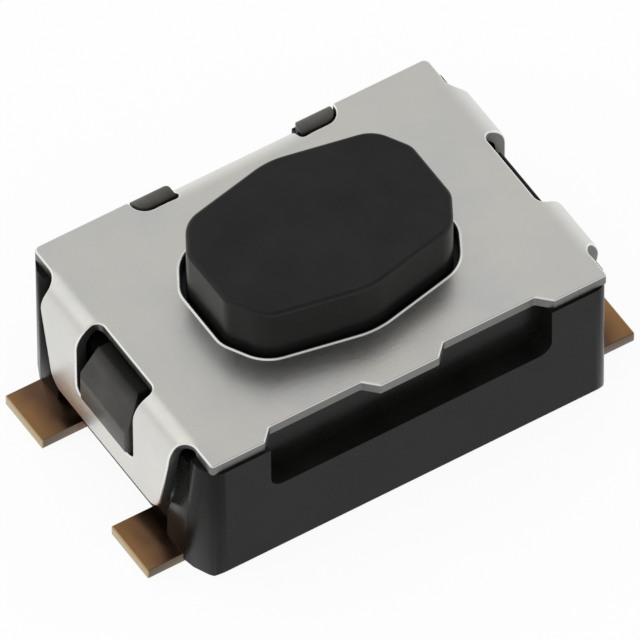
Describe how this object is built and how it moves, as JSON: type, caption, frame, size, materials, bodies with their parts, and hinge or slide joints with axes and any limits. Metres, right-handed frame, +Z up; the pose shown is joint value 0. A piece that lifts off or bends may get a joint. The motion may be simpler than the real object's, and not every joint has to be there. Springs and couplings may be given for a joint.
{
  "type": "tactile push button switch",
  "caption": "Low surface-mount tactile switch: black moulded base, folded steel cover with a shaped hole, and a long black button that travels down on a snap dome.",
  "frame": {"origin": "middle of the footprint, on the board that the switch is soldered to", "axes": "+X along the body from one pair of terminals to the other, +Z up and out of the board, so -Y is the side with the open pocket"},
  "size_m": [0.0046, 0.0028, 0.0019],
  "materials": {
    "housing_resin": "glass-filled black resin, matt as moulded",
    "cover_steel": "thin stainless sheet, satin as rolled",
    "button_resin": "black resin with a fine matt top",
    "dome_steel": "bright spring steel",
    "contact_plating": "plated copper alloy, semi-bright"
  },
  "bodies": {
    "housing": {"base_housing": "housing_resin", "cover": "cover_steel", "snap_dome": "dome_steel", "centre_contact": "contact_plating", "rim_contact": "contact_plating"},
    "button": {"actuator": "button_resin"}
  },
  "joints": [
    {"name": "button_press", "type": "slide", "parent": "housing", "child": "button", "axis": [0, 0, 1], "range_m": [-0.0002, 0], "stiffness_N_per_m": 8000, "deforming": ["snap_dome"]}
  ]
}
